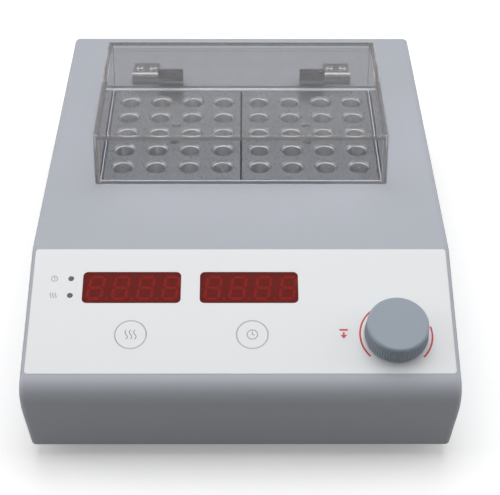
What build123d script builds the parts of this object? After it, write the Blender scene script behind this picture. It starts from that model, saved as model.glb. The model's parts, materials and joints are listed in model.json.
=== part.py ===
from build123d import *
from math import atan, cos, degrees, radians, sin, tan
import os

os.makedirs("parts", exist_ok=True)

# Dry bath incubator: a sloping control panel in front of a deck that holds two drilled heating
# blocks under a hinged clear lid. Millimetres, +Z up, +X to the user's right, +Y to the rear.
# The origin is on the table, under the middle of the footprint.

# Case, outside
body_width = 216.5
body_depth = 306.2
case_height = 68.5
foot_height = 8.5
rear_stand = 2.6
wall = 2.4
edge_radius = 3.0
panel_angle = 20.4
panel_length = 84.3
front_lean = 5.5
nose_radius = 10.5
crease_radius = 6.0
skirt_height = 25.0
skirt_taper = 2.6
belt_radius = 70.0
tail_radius = 4.0

# Base tray, feet and the screws that close the case
tray_sheet = 1.2
tray_rim = 10.0
tray_gap = 0.4
tray_corner = 2.5
post_radius = 4.0
post_inset_x = 14.0
post_inset_y = 12.5
cover_screw_radius = 1.6
cover_screw_length = 12.0
foot_radius = 9.0
foot_inset_x = 26.0
foot_inset_y = 26.0
foot_taper = 4.0
foot_edge = 1.0
foot_recess_radius = 4.0
foot_screw_radius = 1.5
screw_tail = 1.0
screw_play = 0.15
vent_length = 26.0
vent_width = 3.0
vent_pitch = 7.0
vent_count = 7

# Panel film and what shows through it
film = 0.5
film_sink = 0.3
film_top = 2.1
film_length = 72.1
film_inset = 2.4
film_corner = 1.5
display_width = 50.3
display_length = 19.0
display_height = 8.0
window_width = 50.0
window_length = 18.4
window_corner = 2.5
display_inset = 52.85
display_pitch = 59.6
display_down = 25.1
digit_count = 4
digit_height = 14.2
digit_width = 8.4
digit_pitch = 12.7
digit_slant = 8.0
segment_width = 1.5
segment_cut = 1.1
segment_depth = 0.3
module_play = 0.3
indicator_inset = 21.75
indicator_downs = (19.9, 29.8)
indicator_radius = 1.5
led_radius = 1.45
key_left_shift = 0.6
key_right_shift = 1.6
key_down = 52.4
key_radius = 7.6
key_gap = 0.2
key_travel = 0.4

# Knob and its encoder
knob_inset = 30.85
knob_down = 52.6
knob_height = 10.4
knob_base_radius = 16.0
knob_top_radius = 15.25
knob_edge = 1.4
knob_stand = 1.0
knob_wall = 2.0
knob_bore_play = 0.03
knob_clearance = 0.3
rib_count = 72
rib_depth = 0.45
press_travel = 0.5
shaft_radius = 3.0
shaft_flat = 1.5
shaft_play = 0.05
rod_seat = 1.0
rod_length = 1.5
encoder_size = 13.0
bushing_radius = 4.5
bushing_length = 6.4
nut_flats = 12.0
nut_height = 2.2
washer_radius = 7.0
washer_height = 0.5

# Boards
board_thick = 1.6
board_inset = 10.25
board_length = 52.0
board_down = 38.5
board_boss_radius = 3.0
board_boss_inset = 4.5
board_screw_radius = 1.25
board_screw_bite = 5.0
switch_size = 6.0
switch_height = 3.5
plunger_radius = 1.75
plunger_play = 0.05
plunger_seat = 0.7

# Heating blocks and the well that holds them
block_width = 76.5
block_depth = 95.5
block_height = 50.0
block_split = 0.5
block_share = 0.4814
block_play = 0.5
block_chamfer = 0.4
well_gap = 0.8
well_corner = 1.0
column_count = 4
row_count = 5
column_pitch = 18.7
row_pitch = 17.5
tube_radius = 5.4
tube_straight = 18.0
tube_depth = 38.0
tube_tip_radius = 2.6
mouth_chamfer = 1.3
lift_hole_radius = 2.1
lift_hole_depth = 14.0
lift_countersink_radius = 2.9
liner_sheet = 1.0
plate_height = 6.0
heater_sheet = 1.5
plate_post_radius = 4.0
plate_post_inset = 9.0
plate_screw_radius = 1.5
heater_margin = 1.0
sensor_radius = 2.0
sensor_length = 30.0
cutout_radius = 8.0
cutout_height = 8.0
cutout_room = 3.0
cutout_edge = 1.0

# Lid and hinges
lid_width = 161.3
lid_depth = 106.7
lid_height = 31.0
lid_wall = 2.8
lid_top = 3.0
lid_taper = 0.7
lid_corner = 1.6
lid_front_gap = 4.85
hinge_inner = 35.7
hinge_split = 51.2
hinge_outer = 67.0
hinge_play = 0.3
barrel_radius = 2.5
pin_radius = 1.2
pin_play = 0.05
pin_press = 0.01
pin_drop = 4.9
leaf_sheet = 1.2
leaf_gap = 0.2
leaf_height = 11.0
leaf_lift = 0.4
bracket_sheet = 1.6
bracket_reach = 21.5
hinge_screw_inset = 3.8
hinge_screw_back = 14.4
hinge_screw_radius = 1.25
hinge_head_radius = 2.3
hinge_head_height = 1.4

# Rear fittings: inlet with its fuse drawer, and rocker switch
rear_fitting_drop = 20.0
flange_sheet = 1.4
flange_corner = 2.0
flange_overlap = 1.5
inlet_inset = 50.25
inlet_width = 50.0
inlet_height = 27.0
inlet_depth = 27.0
socket_shift = -8.0
socket_width = 24.4
socket_height = 16.4
socket_depth = 17.0
socket_bevel = 4.5
contact_height = 4.0
contact_sheet = 2.0
contact_length = 14.0
contact_spread = 7.0
contact_rise = 2.5
drawer_shift = 17.0
drawer_width = 9.0
drawer_height = 16.0
drawer_depth = 23.0
drawer_play = 0.3
drawer_lap = 1.2
drawer_wall = 1.2
fuse_radius = 2.5
fuse_length = 20.0
fuse_play = 0.1
rocker_gap = 17.5
rocker_frame_width = 15.0
rocker_frame_height = 21.0
rocker_frame_depth = 16.0
rocker_width = 10.0
rocker_length = 15.6
rocker_tip_length = 14.0
rocker_tip = 4.7
rocker_middle = 3.7
rocker_keel = 1.5
rocker_keel_length = 6.0
rocker_play = 0.3
rocker_tilt = 9.0
rocker_pin_depth = 3.2
rocker_pin_radius = 1.0
rocker_pin_length = 0.8

# Power board
power_width = 110.0
power_length = 70.0
power_setback = 14.0
power_stand = 6.0
power_post_radius = 3.0
power_post_inset = 5.0
transformer_width = 42.0
transformer_length = 35.0
transformer_height = 30.0
sink_width = 40.0
sink_length = 24.0
sink_height = 25.0
sink_fins = 6
sink_fin = 1.4
coil_inset = 5.0
triac_width = 10.0
triac_depth = 4.5
triac_height = 15.0

# Places worked out from the sizes above
slope = radians(panel_angle)
lean = radians(front_lean)
case_z = foot_height
deck_z = case_z + case_height
belt_z = case_z + skirt_height
front_y = -(body_depth + rear_stand) / 2
rear_y = front_y + body_depth
nose_gain = nose_radius * ((sin(slope) + cos(lean)) / (1 + sin(slope - lean)) - 1)
nose_y = front_y - nose_gain
nose_z = deck_z - panel_length * sin(slope)
crease_y = nose_y + panel_length * cos(slope)
panel = Plane(origin=(0, crease_y, deck_z), x_dir=(1, 0, 0), z_dir=(0, -sin(slope), cos(slope)))

tray_z = case_z + tray_sheet
tray_half = body_width / 2 - skirt_taper - wall - tray_gap
tray_front = nose_y + (nose_z - case_z) * tan(lean) + wall + tray_gap
tray_rear = rear_y - skirt_taper - wall - tray_gap

display_left_x = -body_width / 2 + display_inset
display_right_x = display_left_x + display_pitch
indicator_x = -body_width / 2 + indicator_inset
key_left_x = display_left_x + key_left_shift
key_right_x = display_right_x + key_right_shift
knob_x = body_width / 2 - knob_inset
board_top = -film_sink - display_height
board_low = board_top - board_thick
board_width = body_width - 2 * board_inset

block_middle_y = crease_y + block_share * (rear_y - crease_y)
block_centre_x = (block_width + block_split) / 2
blocks_half = block_width + block_split / 2
well_width = 2 * (blocks_half + well_gap)
well_depth = block_depth + 2 * well_gap
block_z = deck_z - block_height
liner_half_x = blocks_half + block_play
liner_half_y = block_depth / 2 + block_play
plate_width = 2 * (liner_half_x + liner_sheet)
plate_length = 2 * (liner_half_y + liner_sheet)
plate_z = block_z - plate_height
heater_z = plate_z - heater_sheet

lid_front = block_middle_y - block_depth / 2 - lid_front_gap
lid_rear = lid_front + lid_depth
lid_middle_y = (lid_front + lid_rear) / 2
pin_y = lid_rear + leaf_sheet + barrel_radius + leaf_gap
pin_z = deck_z + pin_drop
rear_fitting_z = deck_z - rear_fitting_drop
inlet_x = body_width / 2 - inlet_inset
socket_x = inlet_x + socket_shift
drawer_x = inlet_x + drawer_shift
rocker_x = inlet_x - inlet_width / 2 - rocker_gap - rocker_frame_width / 2


def on_panel(x, down, height=0.0):
    """A plane lying on the sloping panel, down the slope from the crease and raised by height."""
    spot = panel.from_local_coords((x, -down, height))
    return Plane(origin=spot, x_dir=(1, 0, 0), z_dir=panel.z_dir)


def rear_face(out=0.0):
    """A plane on the rear face at the height of its fittings, seen from behind, moved out by out."""
    return Plane(origin=(0, rear_y + out, rear_fitting_z), x_dir=(-1, 0, 0), z_dir=(0, 1, 0))


def finish(built, name):
    """Label a finished piece and write it to its own file."""
    built.part.label = name
    export_step(built.part, f"parts/{name}.step")


def is_rim(edge):
    """True for an edge round the outline of a side, and false along its belt and its foot."""
    level = abs(edge.tangent_at(0.5).Y) > 0.999
    return not level or edge.center().Z > deck_z - edge_radius


# Outer form of the case: a side profile and a front profile that cut each other
def case_form(inset, low_z, rounding=0.0):
    drop = (belt_z - low_z) / skirt_height
    low_front = nose_y + (nose_z - low_z) * tan(lean)
    low_rear = rear_y - skirt_taper * drop
    low_half = body_width / 2 - skirt_taper * drop
    half = body_width / 2
    with BuildPart() as form:
        with BuildSketch(Plane.YZ) as side:
            with BuildLine():
                Polyline(
                    (low_front, low_z),
                    (nose_y, nose_z),
                    (crease_y, deck_z),
                    (rear_y, deck_z),
                    (rear_y, belt_z),
                    (low_rear, low_z),
                    close=True,
                )
            make_face()
            fillet(side.vertices().sort_by_distance((nose_y, nose_z, 0))[0], radius=nose_radius)
            fillet(side.vertices().sort_by_distance((crease_y, deck_z, 0))[0], radius=crease_radius)
            fillet(side.vertices().sort_by_distance((rear_y, deck_z, 0))[0], radius=tail_radius)
            fillet(side.vertices().sort_by_distance((rear_y, belt_z, 0))[0], radius=belt_radius)
            offset(amount=-inset, kind=Kind.INTERSECTION)
        extrude(amount=body_width, both=True)
        with BuildSketch(Plane.XZ) as front:
            with BuildLine():
                Polyline(
                    (-low_half, low_z),
                    (-half, belt_z),
                    (-half, deck_z),
                    (half, deck_z),
                    (half, belt_z),
                    (low_half, low_z),
                    close=True,
                )
            make_face()
            belts = front.vertices().filter_by(lambda corner: abs(corner.Y - belt_z) < wall)
            fillet(belts, radius=belt_radius)
            offset(amount=-inset, kind=Kind.INTERSECTION)
        extrude(amount=body_depth, both=True, mode=Mode.INTERSECT)
        if rounding:
            sides = form.faces().filter_by(lambda face: abs(face.normal_at().X) > 0.9)
            fillet(sides.edges().filter_by(is_rim), radius=rounding)
    return form.part


# Where the repeated pieces stand
post_spots = [
    (side * (body_width / 2 - post_inset_x), y)
    for side in (-1, 1)
    for y in (front_y + post_inset_y, rear_y - post_inset_y)
]
boss_spots = [
    (side * (board_width / 2 - board_boss_inset), board_down + end * (board_length / 2 - board_boss_inset))
    for side in (-1, 1)
    for end in (-1, 1)
]
display_spots = {"left": display_left_x, "right": display_right_x}
key_spots = {"heat": key_left_x, "timer": key_right_x}
hands = {"left": -1, "right": 1}
hinge_screw_spots = [
    (hand * x, pin_y + hinge_screw_back)
    for hand in hands.values()
    for x in (hinge_split + hinge_screw_inset, hinge_outer - hinge_screw_inset)
]
plate_posts = [
    (side * (plate_width / 2 - plate_post_inset), block_middle_y + end * (plate_length / 2 - plate_post_inset))
    for side in (-1, 1)
    for end in (-1, 1)
]
opening_depth = wall * 2
outer_form = case_form(0, case_z, edge_radius)

# Top cover: a moulded shell with screw posts, board bosses, the well's opening and the panel's
with BuildPart() as cover_posts:
    with BuildSketch(Plane.XY.offset(tray_z)):
        with Locations(*post_spots):
            Circle(post_radius)
    extrude(amount=case_height)
    add(outer_form, mode=Mode.INTERSECT)

with BuildPart() as board_bosses:
    with BuildSketch(on_panel(0, 0, board_top)):
        with Locations(*[(x, -down) for x, down in boss_spots]):
            Circle(board_boss_radius)
            Circle(board_screw_radius - screw_play, mode=Mode.SUBTRACT)
    extrude(amount=-board_top - wall)

with BuildPart() as top_cover:
    add(outer_form)
    add(case_form(wall, case_z - opening_depth), mode=Mode.SUBTRACT)
    add(cover_posts.part)
    add(board_bosses.part)
    with BuildSketch(Plane.XY.offset(tray_z)):
        with Locations(*post_spots):
            Circle(cover_screw_radius - screw_play)
    extrude(amount=cover_screw_length, mode=Mode.SUBTRACT)
    with BuildSketch(Plane.XY.offset(deck_z)):
        with Locations((0, block_middle_y)):
            RectangleRounded(well_width, well_depth, well_corner)
    extrude(amount=-opening_depth, mode=Mode.SUBTRACT)
    with BuildSketch(on_panel(0, film_top + film_length / 2)):
        RectangleRounded(body_width - 2 * film_inset, film_length, film_corner)
    extrude(amount=-film_sink, mode=Mode.SUBTRACT)
    with BuildSketch(on_panel(0, 0)):
        with Locations(*[(x, -display_down) for x in display_spots.values()]):
            Rectangle(display_width + 2 * module_play, display_length + 2 * module_play)
        with Locations(*[(indicator_x, -down) for down in indicator_downs]):
            Circle(indicator_radius)
        with Locations(*[(x, -key_down) for x in key_spots.values()]):
            Circle(key_radius + key_gap)
        with Locations((knob_x, -knob_down)):
            Circle(bushing_radius + module_play)
    extrude(amount=-opening_depth, mode=Mode.SUBTRACT)
    with BuildSketch(rear_face()):
        with Locations((-inlet_x, 0)):
            Rectangle(inlet_width - 2 * flange_overlap, inlet_height - 2 * flange_overlap)
        with Locations((-rocker_x, 0)):
            Rectangle(rocker_frame_width - 2 * flange_overlap, rocker_frame_height - 2 * flange_overlap)
    extrude(amount=-opening_depth, mode=Mode.SUBTRACT)
    with BuildSketch(Plane.XY.offset(deck_z)):
        with Locations(*hinge_screw_spots):
            Circle(hinge_screw_radius - screw_play)
    extrude(amount=-opening_depth, mode=Mode.SUBTRACT)
finish(top_cover, "top_cover")

# Base tray: folded sheet that closes the case from below, with slots under the power board
foot_spots = {
    f"foot_{row}_{hand}": (side * (body_width / 2 - foot_inset_x), y)
    for row, y in (("front", front_y + foot_inset_y), ("rear", rear_y - foot_inset_y))
    for hand, side in hands.items()
}
tray_middle_y = (tray_front + tray_rear) / 2
power_y = block_middle_y - plate_length / 2 - power_setback - power_length / 2
with BuildPart() as base_tray:
    with BuildSketch(Plane.XY.offset(case_z)):
        with Locations((0, tray_middle_y)):
            Rectangle(2 * tray_half, tray_rear - tray_front)
    extrude(amount=tray_rim)
    fillet(base_tray.edges().filter_by(Axis.Z), radius=tray_corner)
    offset(amount=-tray_sheet, openings=base_tray.faces().sort_by(Axis.Z)[-1])
    with BuildSketch(Plane.XY.offset(case_z)):
        with Locations(*post_spots):
            Circle(cover_screw_radius + screw_play)
        with Locations(*plate_posts):
            Circle(plate_screw_radius + screw_play)
        with Locations(*foot_spots.values()):
            Circle(foot_screw_radius)
        with Locations((0, power_y)):
            with GridLocations(0, vent_pitch, 1, vent_count):
                SlotOverall(vent_length, vent_width)
    extrude(amount=tray_sheet, mode=Mode.SUBTRACT)
finish(base_tray, "base_tray")

# Rubber feet, each with a recess for its screw
foot_floor = foot_height / 2
for name, spot in foot_spots.items():
    with BuildPart() as foot:
        with BuildSketch(Plane.XY.offset(case_z)):
            with Locations(spot):
                Circle(foot_radius)
        extrude(amount=-foot_height, taper=foot_taper)
        fillet(foot.edges().sort_by(Axis.Z)[0], radius=foot_edge)
        with BuildSketch():
            with Locations(spot):
                Circle(foot_recess_radius)
        extrude(amount=foot_floor, mode=Mode.SUBTRACT)
        with BuildSketch(Plane.XY.offset(case_z)):
            with Locations(spot):
                Circle(foot_screw_radius + screw_play)
        extrude(amount=-foot_height, mode=Mode.SUBTRACT)
    finish(foot, name)


def screws(name, spots, plane, head_radius, head_height, shank_radius, shank_length):
    """Pan-head screws as separate solids: heads on the plane, shanks going down from it."""
    with BuildPart() as group:
        with BuildSketch(plane):
            with Locations(*spots):
                Circle(head_radius)
        extrude(amount=head_height)
        fillet(group.edges().group_by(lambda edge: plane.to_local_coords(edge).center().Z)[-1],
               radius=head_height / 2)
        with BuildSketch(plane.offset(head_height)):
            with Locations(*spots):
                Rectangle(head_radius, head_height / 3)
                Rectangle(head_height / 3, head_radius)
        extrude(amount=-head_height / 2, mode=Mode.SUBTRACT)
        with BuildSketch(plane):
            with Locations(*spots):
                Circle(shank_radius)
        extrude(amount=-shank_length)
    finish(group, name)


screws(
    "foot_screws",
    [(x, -y) for x, y in foot_spots.values()],
    Plane(origin=(0, 0, foot_floor), x_dir=(1, 0, 0), z_dir=(0, 0, -1)),
    foot_screw_radius * 2,
    foot_screw_radius,
    foot_screw_radius,
    foot_height - foot_floor + tray_sheet + screw_tail,
)
screws(
    "cover_screws",
    [(x, -y) for x, y in post_spots],
    Plane(origin=(0, 0, case_z), x_dir=(1, 0, 0), z_dir=(0, 0, -1)),
    cover_screw_radius * 2,
    cover_screw_radius,
    cover_screw_radius - screw_play,
    cover_screw_length - screw_tail,
)
screws(
    "plate_screws",
    [(x, -y) for x, y in plate_posts],
    Plane(origin=(0, 0, case_z), x_dir=(1, 0, 0), z_dir=(0, 0, -1)),
    plate_screw_radius * 2,
    plate_screw_radius,
    plate_screw_radius - screw_play,
    plate_z + plate_height / 2 - case_z - screw_tail,
)

# Panel film, with clear windows over the displays and small dark ones over the indicators
with BuildPart() as panel_film:
    with BuildSketch(on_panel(0, film_top + film_length / 2, -film_sink)):
        RectangleRounded(body_width - 2 * film_inset, film_length, film_corner)
    extrude(amount=film)
    with BuildSketch(on_panel(0, 0, -film_sink)):
        with Locations(*[(x, -display_down) for x in display_spots.values()]):
            RectangleRounded(window_width, window_length, window_corner)
        with Locations(*[(indicator_x, -down) for down in indicator_downs]):
            Circle(indicator_radius)
        with Locations(*[(x, -key_down) for x in key_spots.values()]):
            Circle(key_radius + key_gap)
        with Locations((knob_x, -knob_down)):
            Circle(bushing_radius + module_play)
    extrude(amount=film, mode=Mode.SUBTRACT)
finish(panel_film, "panel_film")

with BuildPart() as indicator_windows:
    with BuildSketch(on_panel(0, 0, -film_sink)):
        with Locations(*[(indicator_x, -down) for down in indicator_downs]):
            Circle(indicator_radius)
    extrude(amount=film)
finish(indicator_windows, "indicator_windows")

with BuildPart() as indicator_leds:
    with BuildSketch(on_panel(0, 0, board_top)):
        with Locations(*[(indicator_x, -down) for down in indicator_downs]):
            Circle(led_radius)
    extrude(amount=-board_top - film_sink)
finish(indicator_leds, "indicator_leds")


def segments(x):
    """Seven bars and a point of one digit, leaning to the right about its middle."""
    step = (digit_height - segment_width) / 4
    reach = (digit_width - segment_width) / 2
    shear = tan(radians(digit_slant))
    bars = [(0, up, 0) for up in (-2 * step, 0, 2 * step)]
    bars += [(side * reach, end * step, 90 - digit_slant) for side in (-1, 1) for end in (-1, 1)]
    for sideways, up, turn in bars:
        span = 2 * step if turn else 2 * reach
        with Locations(Location((x + sideways + up * shear, up, 0), (0, 0, turn))):
            SlotOverall(span - segment_cut, segment_width)
    with Locations((x + reach + 2 * segment_width - 2 * step * shear, -2 * step)):
        Circle(segment_width / 2)


# Display modules: a block of four digits each, standing on the board behind its window
for side, x in display_spots.items():
    with BuildPart() as window:
        with BuildSketch(on_panel(x, display_down, -film_sink)):
            RectangleRounded(window_width, window_length, window_corner)
        extrude(amount=film)
    finish(window, f"display_window_{side}")

    with BuildPart() as module:
        with BuildSketch(on_panel(x, display_down, board_top)):
            Rectangle(display_width, display_length)
        extrude(amount=display_height)
        with BuildSketch(on_panel(x, display_down, -film_sink)):
            for place in range(digit_count):
                segments((place - (digit_count - 1) / 2) * digit_pitch - segment_width / 2)
        extrude(amount=-segment_depth, mode=Mode.SUBTRACT)
    finish(module, f"display_module_{side}")

# Control board, parallel to the panel, screwed to the cover's bosses
with BuildPart() as control_board:
    with BuildSketch(on_panel(0, board_down, board_low)):
        Rectangle(board_width, board_length)
    extrude(amount=board_thick)
    with BuildSketch(on_panel(0, 0, board_low)):
        with Locations(*[(x, -down) for x, down in boss_spots]):
            Circle(board_screw_radius + screw_play)
    extrude(amount=board_thick, mode=Mode.SUBTRACT)
finish(control_board, "control_board")

screws(
    "control_board_screws",
    boss_spots,
    Plane(origin=on_panel(0, 0, board_low).origin, x_dir=(1, 0, 0), z_dir=-panel.z_dir),
    board_screw_radius * 2,
    board_screw_radius,
    board_screw_radius - screw_play,
    board_thick + board_screw_bite,
)

# Keys: a round of the film over a plunger that presses a switch on the board
for label, x in key_spots.items():
    with BuildPart() as key:
        with BuildSketch(on_panel(x, key_down, -film_sink)):
            Circle(key_radius)
        extrude(amount=film)
    finish(key, f"{label}_key")

    with BuildPart() as plunger:
        with BuildSketch(on_panel(x, key_down, board_top + switch_height - plunger_seat)):
            Circle(plunger_radius)
        extrude(amount=display_height - switch_height + plunger_seat)
    finish(plunger, f"{label}_key_plunger")

    with BuildPart() as switch:
        with BuildSketch(on_panel(x, key_down, board_top)):
            Rectangle(switch_size, switch_size)
        extrude(amount=switch_height)
        with BuildSketch(on_panel(x, key_down, board_top + switch_height)):
            Circle(plunger_radius + plunger_play)
        extrude(amount=-plunger_seat - key_travel - plunger_play, mode=Mode.SUBTRACT)
    finish(switch, f"{label}_switch")

# Encoder: body and bushing in one, washer and nut, push rod, and the flatted shaft
body_top = -wall
bushing_top = body_top + bushing_length
film_face = film - film_sink
rod_floor = board_top + rod_seat
rod_low = rod_floor + press_travel + shaft_play
rod_top = rod_low + rod_length
shaft_top = film_face + knob_stand + knob_height - knob_wall
with BuildPart() as encoder_body:
    with BuildSketch(on_panel(knob_x, knob_down, board_top)):
        Rectangle(encoder_size, encoder_size)
    extrude(amount=body_top - board_top)
    with BuildSketch(on_panel(knob_x, knob_down, body_top)):
        Circle(bushing_radius)
    extrude(amount=bushing_length)
    with BuildSketch(on_panel(knob_x, knob_down, rod_floor)):
        Circle(shaft_radius + shaft_play)
    extrude(amount=bushing_top - rod_floor, mode=Mode.SUBTRACT)
finish(encoder_body, "encoder_body")

with BuildPart() as encoder_washer:
    with BuildSketch(on_panel(knob_x, knob_down, film_face)):
        Circle(washer_radius)
        Circle(bushing_radius + shaft_play, mode=Mode.SUBTRACT)
    extrude(amount=washer_height)
finish(encoder_washer, "encoder_washer")

with BuildPart() as encoder_nut:
    with BuildSketch(on_panel(knob_x, knob_down, film_face + washer_height)):
        RegularPolygon(nut_flats / 2, 6, major_radius=False)
        Circle(bushing_radius + shaft_play, mode=Mode.SUBTRACT)
    extrude(amount=nut_height)
finish(encoder_nut, "encoder_nut")

with BuildPart() as encoder_rod:
    with BuildSketch(on_panel(knob_x, knob_down, rod_low)):
        Circle(shaft_radius)
    extrude(amount=rod_top - rod_low)
finish(encoder_rod, "encoder_rod")

with BuildPart() as encoder_shaft:
    with BuildSketch(on_panel(knob_x, knob_down, rod_top)):
        Circle(shaft_radius)
    extrude(amount=shaft_top - rod_top)
    with BuildSketch(on_panel(knob_x, knob_down, bushing_top + press_travel)):
        with Locations((0, 2 * shaft_radius - shaft_flat)):
            Rectangle(2 * shaft_radius, 2 * shaft_radius)
    extrude(amount=shaft_top - bushing_top, mode=Mode.SUBTRACT)
finish(encoder_shaft, "encoder_shaft")

# Knob: a ribbed grip that narrows to the top, rounded at its edge, hollow over the nut
knob_low = film_face + knob_stand
grip_height = knob_height - knob_edge
grip_taper = degrees(atan((knob_base_radius - knob_top_radius) / knob_height))
hub_radius = 2 * shaft_radius
hub_low = bushing_top + press_travel + knob_clearance
with BuildPart() as knob:
    with BuildSketch(on_panel(knob_x, knob_down, knob_low)):
        Circle(knob_base_radius)
    extrude(amount=knob_height, taper=grip_taper)
    rim = knob.edges().sort_by_distance(on_panel(knob_x, knob_down, knob_low + knob_height).origin)
    fillet(rim.filter_by(GeomType.CIRCLE)[0], radius=knob_edge)
    with Locations(on_panel(knob_x, knob_down, knob_low)):
        with PolarLocations(knob_base_radius, rib_count):
            Cylinder(
                radius=rib_depth,
                height=grip_height,
                rotation=(0, -grip_taper, 0),
                align=(Align.CENTER, Align.CENTER, Align.MIN),
                mode=Mode.SUBTRACT,
            )
    with BuildSketch(on_panel(knob_x, knob_down, knob_low)):
        Circle(knob_top_radius - knob_wall)
    extrude(amount=hub_low - knob_low, mode=Mode.SUBTRACT)
    with BuildSketch(on_panel(knob_x, knob_down, hub_low)):
        Circle(knob_top_radius - knob_wall)
        Circle(hub_radius, mode=Mode.SUBTRACT)
    extrude(amount=knob_low + knob_height - knob_wall - hub_low, mode=Mode.SUBTRACT)
    with BuildSketch(on_panel(knob_x, knob_down, hub_low)):
        Circle(shaft_radius + knob_bore_play)
        with Locations((0, 2 * shaft_radius - shaft_flat + knob_bore_play)):
            Rectangle(2 * shaft_radius, 2 * shaft_radius, mode=Mode.SUBTRACT)
    extrude(amount=shaft_top - hub_low, mode=Mode.SUBTRACT)
finish(knob, "knob")

# Heating blocks: each drilled for tubes in rows, with two tapped holes for the lifting tool
for side, hand in hands.items():
    x = hand * block_centre_x
    with BuildPart() as block:
        with BuildSketch(Plane.XY.offset(block_z)):
            with Locations((x, block_middle_y)):
                Rectangle(block_width, block_depth)
        extrude(amount=block_height)
        chamfer(block.faces().sort_by(Axis.Z)[-1].edges(), length=block_chamfer)
        with Locations(Plane(origin=(x, block_middle_y, deck_z))):
            with GridLocations(column_pitch, row_pitch, column_count, row_count):
                CounterSinkHole(tube_radius, tube_radius + mouth_chamfer, depth=tube_straight + mouth_chamfer,
                                counter_sink_angle=90)
            with GridLocations(0, row_pitch, 1, 2):
                CounterSinkHole(lift_hole_radius, lift_countersink_radius, depth=lift_hole_depth,
                                counter_sink_angle=90)
        with BuildSketch(Plane.XY.offset(deck_z - tube_straight - mouth_chamfer)):
            with Locations((x, block_middle_y)):
                with GridLocations(column_pitch, row_pitch, column_count, row_count):
                    Circle(tube_radius)
        cone = degrees(atan((tube_radius - tube_tip_radius) / (tube_depth - tube_straight)))
        extrude(amount=-tube_depth + tube_straight, taper=cone, mode=Mode.SUBTRACT)
    finish(block, f"heating_block_{side}")

# Well liner, heater plate, film heater and the insulation under them
with BuildPart() as well_liner:
    with BuildSketch(Plane.XY.offset(block_z)):
        with Locations((0, block_middle_y)):
            Rectangle(plate_width, plate_length)
            Rectangle(2 * liner_half_x, 2 * liner_half_y, mode=Mode.SUBTRACT)
    extrude(amount=deck_z - wall - block_z)
finish(well_liner, "well_liner")

sensor_z = plate_z + plate_height / 2
with BuildPart() as heater_plate:
    with BuildSketch(Plane.XY.offset(plate_z)):
        with Locations((0, block_middle_y)):
            Rectangle(plate_width, plate_length)
    extrude(amount=plate_height)
    with BuildSketch(Plane.XY.offset(plate_z)):
        with Locations(*plate_posts):
            Circle(plate_screw_radius - screw_play)
    extrude(amount=plate_height / 2, mode=Mode.SUBTRACT)
    with BuildSketch(Plane(origin=(0, block_middle_y + plate_length / 2, sensor_z),
                           x_dir=(-1, 0, 0), z_dir=(0, 1, 0))):
        Circle(sensor_radius + shaft_play)
    extrude(amount=-sensor_length + sensor_radius, mode=Mode.SUBTRACT)
finish(heater_plate, "heater_plate")

with BuildPart() as temperature_sensor:
    with BuildSketch(Plane(origin=(0, block_middle_y + plate_length / 2 + sensor_radius, sensor_z),
                           x_dir=(-1, 0, 0), z_dir=(0, 1, 0))):
        Circle(sensor_radius)
    extrude(amount=-sensor_length)
finish(temperature_sensor, "temperature_sensor")

heater_room = 2 * (plate_post_inset + plate_post_radius + heater_margin)
with BuildPart() as film_heater:
    with BuildSketch(Plane.XY.offset(heater_z)):
        with Locations((0, block_middle_y)):
            Rectangle(plate_width - heater_room, plate_length)
            Circle(cutout_radius + cutout_room, mode=Mode.SUBTRACT)
    extrude(amount=heater_sheet)
finish(film_heater, "film_heater")

with BuildPart() as insulation:
    with BuildSketch(Plane.XY.offset(tray_z)):
        with Locations((0, block_middle_y)):
            Rectangle(plate_width - heater_room, plate_length)
            Circle(cutout_radius + cutout_room, mode=Mode.SUBTRACT)
    extrude(amount=heater_z - tray_z)
finish(insulation, "insulation")

with BuildPart() as thermal_cutout:
    with BuildSketch(Plane.XY.offset(plate_z)):
        with Locations((0, block_middle_y)):
            Circle(cutout_radius)
    extrude(amount=-cutout_height)
    chamfer(thermal_cutout.edges().sort_by(Axis.Z)[0], length=cutout_edge)
finish(thermal_cutout, "thermal_cutout")

with BuildPart() as plate_standoffs:
    with BuildSketch(Plane.XY.offset(tray_z)):
        with Locations(*plate_posts):
            Circle(plate_post_radius)
            Circle(plate_screw_radius + screw_play, mode=Mode.SUBTRACT)
    extrude(amount=plate_z - tray_z)
finish(plate_standoffs, "plate_standoffs")

# Lid: a clear moulded box, open below, whose walls stand on the deck round the well
draft = degrees(atan(lid_taper / lid_height))
with BuildPart() as lid:
    with BuildSketch(Plane.XY.offset(deck_z)):
        with Locations((0, lid_middle_y)):
            RectangleRounded(lid_width, lid_depth, lid_corner)
    extrude(amount=lid_height, taper=draft)
    fillet(lid.faces().sort_by(Axis.Z)[-1].edges(), radius=lid_taper)
    with BuildSketch(Plane.XY.offset(deck_z)):
        with Locations((0, lid_middle_y)):
            Rectangle(lid_width - 2 * lid_wall, lid_depth - 2 * lid_wall)
    extrude(amount=lid_height - lid_top, taper=draft, mode=Mode.SUBTRACT)
finish(lid, "lid")


def across(start, end):
    """The plane of a profile that is pushed along X from start to end, and the length to push it."""
    return Plane.YZ.offset(min(start, end)), abs(end - start)


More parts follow.
